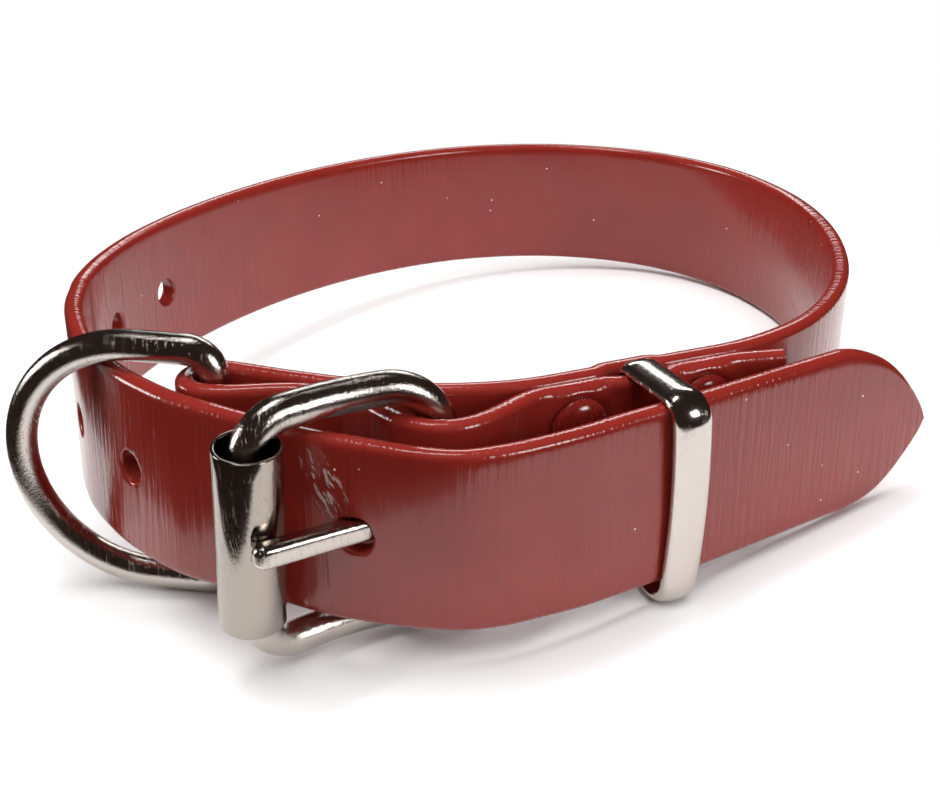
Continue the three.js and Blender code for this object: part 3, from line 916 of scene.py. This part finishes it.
add_node(wire_tree, "NodeGroupOutput", {"Wire": wire_finish.outputs["Geometry"]})


def set_inputs(modifier, values):
    """Sets a tree's inputs by name, through their identifiers."""
    for item in modifier.node_group.interface.items_tree:
        if item.item_type == "SOCKET" and item.in_out == "INPUT" and item.name in values:
            modifier[item.identifier] = values[item.name]


def outward_faces(piece):
    shaper = bmesh.new()
    shaper.from_mesh(piece.data)
    bmesh.ops.remove_doubles(shaper, verts=shaper.verts, dist=1e-7)
    bmesh.ops.recalc_face_normals(shaper, faces=shaper.faces)
    shaper.to_mesh(piece.data)
    shaper.free()


wire_sides = 40


def bent_wire(name, points, radius, place, finish):
    """A closed loop of round wire through points."""
    mesh = bpy.data.meshes.new(name)
    count = len(points)
    mesh.from_pydata(points, [(i, (i + 1) % count) for i in range(count)], [])
    mesh.transform(lay_down @ place)
    piece = bpy.data.objects.new(name, mesh)
    bpy.context.scene.collection.objects.link(piece)
    sweep = piece.modifiers.new("sweep", "NODES")
    sweep.node_group = wire_tree
    set_inputs(sweep, {"Wire radius": radius / 1000, "Sides": wire_sides, "Finish": finish})
    apply_modifiers(piece)
    outward_faces(piece)
    smooth(piece)
    return piece


def nickel(name, tint, roughness, grain_mm, grain_depth, wave_depth, scratch_depth):
    """Polished nickel plate: warm grey metal, with its grain and wear in relief."""
    material, tree, shader = new_material(name)
    spot = add_node(tree, "ShaderNodeTexCoord").outputs["Object"]
    noise = {}
    for key, size_mm, detail, fineness in (
        ("wave", (4, 4, 4), 1, 0.5),
        ("grain", (grain_mm,) * 3, 3, 0.6),
        ("scuff", (0.12, 3.5, 2.2), 2, 0.5),
    ):
        scale = tuple(object_unit / size for size in size_mm)
        spread = add_node(tree, "ShaderNodeMapping", {"Vector": spot, "Scale": scale})
        noise[key] = add_node(
            tree,
            "ShaderNodeTexNoise",
            {
                "Vector": spread.outputs["Vector"],
                "Scale": 1.0,
                "Detail": detail,
                "Roughness": fineness,
            },
        ).outputs["Fac"]
    share = {}
    for key, value, low, high, to_low, to_high in (
        ("scratch", noise["scuff"], 0.64, 0.7, 0.0, 1.0),
        ("polish", noise["grain"], 0.3, 0.7, roughness * 0.8, roughness * 1.3),
    ):
        share[key] = add_node(
            tree,
            "ShaderNodeMapRange",
            {"Value": value, "From Min": low, "From Max": high, "To Min": to_low, "To Max": to_high},
            interpolation_type="SMOOTHSTEP",
        ).outputs["Result"]
    relief = None
    for height, depth_mm in (
        (noise["wave"], wave_depth),
        (noise["grain"], grain_depth),
        (share["scratch"], scratch_depth),
    ):
        inputs = {"Height": height, "Distance": depth_mm / 1000, "Strength": 1.0}
        if relief is not None:
            inputs["Normal"] = relief
        relief = add_node(tree, "ShaderNodeBump", inputs).outputs["Normal"]
    tree.links.new(relief, shader.inputs["Normal"])
    tree.links.new(share["polish"], shader.inputs["Roughness"])
    shader.inputs["Base Color"].default_value = from_hex(tint)
    shader.inputs["Metallic"].default_value = 1.0
    return material


# Nickel over drawn wire: a warm grey mirror, broken by a fine pitted grain.
wire_nickel = nickel("polished_nickel_wire", "#bdb5ae", 0.13, 0.26, 0.045, 0.012, 0.02)
frame_half = (frame_window + wire_diameter) / 2
frame_points = []
for x, z in cornered(frame_length, frame_half, heel_corner, front_corner, frame_step):
    bow = -frame_bow * math.sin(math.pi * min(max(x / frame_length, 0), 1))
    frame_points.append((x, bow, z))
frame_wire = bent_wire("frame_wire", frame_points, wire_radius, buckle_place, wire_nickel)
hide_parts("buckle_frame")
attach(frame_wire, "collar")


# The roller: a strip of thin steel sheet rolled into a tube that turns freely on the
# frame's front bar, so its seam stays open by a hair; nickel plated and polished.
roller_bore = 7.4
roller_skew = -2.2
roller_rise = 1.2
seam_gap = 0.12
lip_round = 0.16
roller_place = (
    buckle_place
    @ Matrix.Translation((roller_x, 0, roller_rise))
    @ Matrix.Rotation(math.radians(-roller_tip), 4, "X")
    @ Matrix.Rotation(math.radians(roller_skew), 4, "Y")
)
roller_wall = (roller_outer - roller_bore) / 2
wall_middle = (roller_outer + roller_bore) / 4
roller_section = rounded_section(roller_wall, roller_length, lip_round, 4, 1, 12)
seam_turn = seam_gap / wall_middle / 2
roller_points = []
roller_turns = 96
for i in range(roller_turns + 1):
    # The seam faces the strap, behind the roller.
    turn = math.radians(-90) + mix(seam_turn, 2 * math.pi - seam_turn, i / roller_turns)
    roller_points += [
        Vector(((wall_middle + side) * math.cos(turn), (wall_middle + side) * math.sin(turn), up))
        for side, up in roller_section
    ]
roller_tube = make_mesh(
    "roller_tube",
    roller_points,
    loft_faces(roller_turns + 1, len(roller_section), False),
    place=roller_place,
)
outward_faces(roller_tube)
smooth(roller_tube)
# Nickel over rolled sheet, tinted darker than the other nickel as painted shade that dims the
# roller's mirror, with faint soft waves.
shaded_roller_nickel = nickel("shaded_nickel_sheet", "#a0978f", 0.11, 0.45, 0.006, 0.012, 0.008)
roller_tube.data.materials.append(shaded_roller_nickel)
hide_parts("roller")
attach(roller_tube, "roller")


# The prong: a flat steel bar with its end curled round the heel bar. It comes through the
# strap's first hole, and its rounded tip is hooked a little over the roller.
eye_middle = eye_radius + prong_eye_wall / 2
prong_points = []
prong_line = []
curl_steps = 36
curl_start, curl_end = -205, 90
root_run = 30
for i in range(curl_steps):
    degrees = mix(curl_start, curl_end, i / curl_steps)
    turn = math.radians(degrees)
    grown = ease((curl_end - degrees) / root_run)
    radius = mix(eye_middle, eye_radius + prong_thickness / 2, grown)
    direction = Vector((-math.cos(turn), math.sin(turn), 0))
    prong_line.append((direction * radius, direction, mix(prong_eye_wall, prong_thickness, grown)))
arm_steps = 60
arm_end = roller_x + prong_tip_past
for i in range(arm_steps + 1):
    x = arm_end * i / arm_steps
    normal = prong_normal(x)
    prong_line.append((Vector((x, prong_height(x), 0)), normal, prong_thickness))
tip_round = 1.3
tip_fullness = 0.35
thinnest_square = 0.02
prong_corner = 0.95
prong_corner_steps = 6
for middle, normal, thickness in prong_line:
    to_end = arm_end - middle.x
    narrow = 1.0
    if to_end < tip_round and middle.y > eye_middle:
        narrow = math.sqrt(max(1 - (1 - to_end / tip_round) ** 2, thinnest_square))
    section = rounded_section(
        thickness * narrow,
        prong_width * mix(tip_fullness, 1, narrow),
        prong_corner,
        prong_corner_steps,
    )
    skewed = prong_turn if middle.y > 0 and middle.x > 0 else Matrix.Identity(4)
    prong_points += [
        skewed @ (middle + normal * side + Vector((0, 0, prong_rise + up)))
        for side, up in section
    ]
prong_bar = make_mesh(
    "prong_bar",
    prong_points,
    loft_faces(len(prong_line), len(section), False),
    place=buckle_place,
)
outward_faces(prong_bar)
smooth(prong_bar)
prong_bar.data.materials.append(wire_nickel)
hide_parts("prong")
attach(prong_bar, "collar")


# The ring: heavier round steel wire bent to a D, its straight bar caught in the strap's
# fold, so that it swings about that bar; nickel plated and tumbled.
ring_height = 34.8
ring_depth = 28.9
ring_arm = 11
ring_bar_corner = 3.5
ring_heading = 170
ring_half = ring_height / 2
ring_outline = []
ring_arc_steps = 96
ring_corner_steps = 12
for i in range(ring_arc_steps + 1):
    turn = math.radians(-90 + 180 * i / ring_arc_steps)
    ring_outline.append(
        (ring_arm + (ring_depth - ring_arm) * math.cos(turn), ring_half * math.sin(turn))
    )
for centre_z, start in ((ring_half - ring_bar_corner, 90), (ring_bar_corner - ring_half, 180)):
    for i in range(ring_corner_steps + 1):
        turn = math.radians(start + 90 * i / ring_corner_steps)
        ring_outline.append(
            (
                ring_bar_corner * (1 + math.cos(turn)),
                centre_z + ring_bar_corner * math.sin(turn),
            )
        )
ring_outline = np.array([*ring_outline, ring_outline[0]])
ring_lengths = np.concatenate(
    [[0], np.cumsum(np.linalg.norm(np.diff(ring_outline, axis=0), axis=1))]
)
ring_count = 130
ring_even = np.arange(ring_count) * ring_lengths[-1] / ring_count
ring_points = [
    (float(x), 0.0, float(z))
    for x, z in zip(
        np.interp(ring_even, ring_lengths, ring_outline[:, 0]),
        np.interp(ring_even, ring_lengths, ring_outline[:, 1]),
    )
]
ring_place = Matrix.Translation(ring_origin) @ Matrix.Rotation(
    math.radians(ring_heading), 4, "Z"
)
ring_loop = bent_wire("ring_wire", ring_points, ring_wire / 2, ring_place, wire_nickel)
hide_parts("d_ring")
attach(ring_loop, "ring")


# The keeper: half-oval steel strip bent into a closed loop. Its back leg is trapped between
# the two riveted layers, and the free end of the strap passes through it.
keeper_play = 1.3
keeper_sag = 1
keeper_corner = 3
keeper_back_corner = 2.1
keeper_step = 0.5
keeper_oval = 0.8
keeper_along = neck_at(keeper_station)[1]
keeper_outward = neck_at(keeper_station)[2]
tongue_angle = tip_direction.angle(keeper_along)
keeper_back = inner_layer(keeper_station) + half_strap + seat_gap + keeper_thickness / 2
front_gap = seat_gap + (math.sin(tongue_angle) * keeper_width + tongue_lean * strap_width) / 2
keeper_front = tongue_at_keeper + half_strap + front_gap + keeper_thickness / 2
keeper_rise = mid_height + keeper_play + keeper_thickness / 2
keeper_line = cornered(
    keeper_front - keeper_back, keeper_rise, keeper_back_corner, keeper_corner, keeper_step
)
keeper_points = []
keeper_sides = 16
keeper_bulge = 0.8
count = len(keeper_line)
for i in range(count):
    x, z = keeper_line[i]
    frontness = min(max(x / (keeper_front - keeper_back), 0), 1)
    bulge = keeper_bulge * frontness**4 * math.cos(math.pi / 2 * min(abs(z) / keeper_rise, 1))
    step = keeper_line[(i + 1) % count] - keeper_line[i - 1]
    step /= np.linalg.norm(step)
    out = Vector((step[1], 0, -step[0]))
    for j in range(keeper_sides):
        turn = math.pi * j / (keeper_sides - 1)
        side = -keeper_width / 2 * math.cos(turn)
        rise = keeper_thickness * (math.sin(turn) ** keeper_oval - 0.5)
        keeper_points.append(Vector((x, side + bulge, z)) + out * rise)
keeper_middle = beside(keeper_station, keeper_back)
keeper_place = Matrix.Translation(
    (keeper_middle.x, keeper_middle.y, mid_height - keeper_sag)
) @ Matrix.Rotation(math.atan2(keeper_outward.y, keeper_outward.x), 4, "Z")
keeper_loop = make_mesh(
    "keeper_loop", keeper_points, loft_faces(count, keeper_sides, True), place=keeper_place
)
outward_faces(keeper_loop)
smooth(keeper_loop, 50)
# Nickel over half-oval strip: the palest and cleanest mirror of the hardware.
sheet_nickel = nickel("polished_nickel_sheet", "#c6beb7", 0.13, 0.5, 0.004, 0.012, 0.006)
keeper_loop.data.materials.append(sheet_nickel)
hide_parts("keeper")
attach(keeper_loop, "collar")


# The rivets: four domed double-cap steel rivets, enamelled red to match the strap and
# pressed through both layers, one pair on each side of the keeper.
rivet_dome = 1.7
rivet_back_dome = 1
back_steps = 12
cap_steps = 20
rivet_sides = 48
rivet_rows = [(0, -seat_gap - rivet_back_dome)]
for i in range(1, back_steps + 1):
    turn = math.pi / 2 * i / back_steps
    rivet_rows.append(
        (rivet_cap / 2 * math.sin(turn), -seat_gap - rivet_back_dome * math.cos(turn))
    )
rivet_rows += [(rivet_shank / 2, -seat_gap), (rivet_shank / 2, rivet_grip - seat_gap)]
for i in range(cap_steps + 1):
    turn = math.pi / 2 * i / cap_steps
    rivet_rows.append(
        (
            rivet_cap / 2 * math.cos(turn),
            rivet_grip - seat_gap + rivet_dome * math.sin(turn),
        )
    )
rivet_rows[-1] = (0, rivet_rows[-1][1])
rivet_points, rivet_faces = solid_of_revolution(rivet_rows, rivet_sides)
rivet_mould = make_mesh("rivet_mould", rivet_points, rivet_faces)
rivet_mould.data.transform(lay_down.inverted())
rivet_mould.data.transform(Matrix.Scale(0.001, 4))
outward_faces(rivet_mould)

rivet_tree = bpy.data.node_groups.new("rivets_on_points", "GeometryNodeTree")
for socket, kind in (
    ("Points", "NodeSocketGeometry"),
    ("Rivet", "NodeSocketObject"),
    ("Finish", "NodeSocketMaterial"),
):
    rivet_tree.interface.new_socket(socket, in_out="INPUT", socket_type=kind)
rivet_tree.interface.new_socket("Rivets", in_out="OUTPUT", socket_type="NodeSocketGeometry")
rivet_in = add_node(rivet_tree, "NodeGroupInput")
rivet_facing = add_node(
    rivet_tree, "GeometryNodeInputNamedAttribute", {"Name": "outward"}, data_type="FLOAT_VECTOR"
)
rivet_turn = add_node(
    rivet_tree,
    "FunctionNodeAlignRotationToVector",
    {"Vector": rivet_facing.outputs["Attribute"]},
    axis="Z",
)
rivet_source = add_node(
    rivet_tree, "GeometryNodeObjectInfo", {"Object": rivet_in.outputs["Rivet"]}
)
rivet_copies = add_node(
    rivet_tree,
    "GeometryNodeInstanceOnPoints",
    {
        "Points": rivet_in.outputs["Points"],
        "Instance": rivet_source.outputs["Geometry"],
        "Rotation": rivet_turn.outputs["Rotation"],
    },
)
rivet_real = add_node(
    rivet_tree,
    "GeometryNodeRealizeInstances",
    {"Geometry": rivet_copies.outputs["Instances"]},
)
rivet_finish = add_node(
    rivet_tree,
    "GeometryNodeSetMaterial",
    {"Geometry": rivet_real.outputs["Geometry"], "Material": rivet_in.outputs["Finish"]},
)
add_node(rivet_tree, "NodeGroupOutput", {"Rivets": rivet_finish.outputs["Geometry"]})

# Baked enamel: a dark even red under a hard gloss that gives one small sharp glint.
enamel, tree, shader = new_material("baked_red_enamel")
spot = add_node(tree, "ShaderNodeTexCoord").outputs["Object"]
chip_size = 0.5
chips = add_node(
    tree,
    "ShaderNodeTexNoise",
    {"Vector": spot, "Scale": object_unit / chip_size, "Detail": 3, "Roughness": 0.6},
).outputs["Fac"]
chipped = add_node(
    tree,
    "ShaderNodeMapRange",
    {"Value": chips, "From Min": 0.35, "From Max": 0.7},
    interpolation_type="SMOOTHSTEP",
).outputs["Result"]
red = add_node(
    tree,
    "ShaderNodeMix",
    {0: chipped, 6: from_hex("#7a1e19"), 7: from_hex("#571512")},
    data_type="RGBA",
).outputs[2]
pitted = add_node(tree, "ShaderNodeBump", {"Height": chips, "Distance": 0.00002, "Strength": 1.0})
tree.links.new(red, shader.inputs["Base Color"])
tree.links.new(pitted.outputs["Normal"], shader.inputs["Normal"])
shader.inputs["Roughness"].default_value = 0.14
shader.inputs["IOR"].default_value = 1.5

rivet_mesh = bpy.data.meshes.new("rivet_caps")
laid = [lay_down @ place for place in rivet_places]
rivet_mesh.from_pydata([place.translation for place in laid], [], [])
outward_data = rivet_mesh.attributes.new("outward", "FLOAT_VECTOR", "POINT")
for i, place in enumerate(laid):
    outward_data.data[i].vector = (place.to_3x3() @ Vector((0, 0, 1))).normalized()
rivets = bpy.data.objects.new("rivet_caps", rivet_mesh)
bpy.context.scene.collection.objects.link(rivets)
rivet_modifier = rivets.modifiers.new("place", "NODES")
rivet_modifier.node_group = rivet_tree
set_inputs(rivet_modifier, {"Rivet": rivet_mould, "Finish": enamel})
apply_modifiers(rivets)
bpy.data.objects.remove(rivet_mould)
smooth(rivets, 50)
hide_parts("rivet_1", "rivet_2", "rivet_3", "rivet_4")
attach(rivets, "collar")


# The camera looks down on the buckle from in front, as the photograph does.
picture_width = 940
focal_pixels = 1260
camera_spot = (-1.15, -208.5, 92.7)
camera_pitch = 25.18
camera_roll = 0.45
sensor = 36
camera_data = bpy.data.cameras.new("camera")
camera_data.sensor_width = sensor
camera_data.lens = focal_pixels / picture_width * sensor
camera_data.clip_start = 0.01
camera = bpy.data.objects.new("camera", camera_data)
camera_place = (
    Matrix.Translation(camera_spot)
    @ Matrix.Rotation(math.radians(90 - camera_pitch), 4, "X")
    @ Matrix.Rotation(math.radians(camera_roll), 4, "Z")
)
camera_world = lay_down @ camera_place
camera.matrix_world = Matrix.LocRotScale(
    camera_world.translation, camera_world.to_quaternion(), None
)
bpy.context.scene.collection.objects.link(camera)
bpy.context.scene.camera = camera


# A plain pale floor: a round white card that the collar lies on, in a dim warm room with a
# few soft white panels. Past the card the metal and the gloss mirror the dim room.
floor_mesh = bpy.data.meshes.new("floor")
floor_radius = 0.114
floor_centre = (0.008, 0.004)
floor_sides = 128
floor_mesh.from_pydata(
    [
        (
            floor_centre[0] + floor_radius * math.cos(2 * math.pi * i / floor_sides),
            floor_centre[1] + floor_radius * math.sin(2 * math.pi * i / floor_sides),
            0,
        )
        for i in range(floor_sides)
    ],
    [],
    [tuple(range(floor_sides))],
)
floor = bpy.data.objects.new("floor", floor_mesh)
bpy.context.scene.collection.objects.link(floor)
floor_white, tree, shader = new_material("white_card")
shader.inputs["Base Color"].default_value = from_hex("#f6f6f6")
shader.inputs["Roughness"].default_value = 0.9
shader.inputs["Specular IOR Level"].default_value = 0.0
floor_mesh.materials.append(floor_white)

# The white backdrop is seen by the camera alone, so it lights nothing and is not mirrored.
tent_mesh = bpy.data.meshes.new("tent")
shaper = bmesh.new()
bmesh.ops.create_uvsphere(shaper, u_segments=48, v_segments=24, radius=6)
shaper.to_mesh(tent_mesh)
shaper.free()
tent = bpy.data.objects.new("tent", tent_mesh)
bpy.context.scene.collection.objects.link(tent)
tent_white, tree, shader = new_material("tent_cloth")
shader.inputs["Base Color"].default_value = from_hex("#000000")
shader.inputs["Specular IOR Level"].default_value = 0.0
shader.inputs["Emission Color"].default_value = from_hex("#ffffff")
shader.inputs["Emission Strength"].default_value = 1.0
tent_mesh.materials.append(tent_white)
tent.visible_diffuse = False
tent.visible_glossy = False
tent.visible_transmission = False
tent.visible_shadow = False

world = bpy.data.worlds.new("room")
world.use_nodes = True
world.node_tree.nodes["Background"].inputs["Color"].default_value = from_hex("#4a3d38")
world.node_tree.nodes["Background"].inputs["Strength"].default_value = 0.45
bpy.context.scene.world = world


def panel(name, place, target, size, power, colour="#ffffff"):
    """A soft white light panel that faces a point; places in metres, power in watts."""
    light = bpy.data.lights.new(name, "AREA")
    light.shape = "RECTANGLE"
    light.size, light.size_y = size
    light.energy = power
    light.color = from_hex(colour)[:3]
    lamp = bpy.data.objects.new(name, light)
    aim = (Vector(target) - Vector(place)).to_track_quat("-Z", "Y")
    lamp.matrix_world = Matrix.Translation(place) @ aim.to_matrix().to_4x4()
    bpy.context.scene.collection.objects.link(lamp)
    return lamp


panel("left_panel", (-0.95, 0.05, 0.3), (0, -0.02, 0.01), (0.3, 0.25), 3)
panel("right_panel", (0.8, -0.6, 0.35), (0, -0.03, 0.01), (0.3, 0.3), 4)
panel("top_strip", (-0.1, 0.1, 1.1), (0, 0, 0), (0.5, 0.08), 2.5)
panel("back_panel", (0.1, 0.9, 0.5), (0, 0, 0), (0.7, 0.12), 2)
ceiling = panel("ceiling", (0, -0.2, 1.5), (0, 0, 0), (2, 2), 38)
ceiling.visible_glossy = False

bpy.context.scene.view_settings.view_transform = "Standard"
bpy.context.scene.view_settings.look = "None"
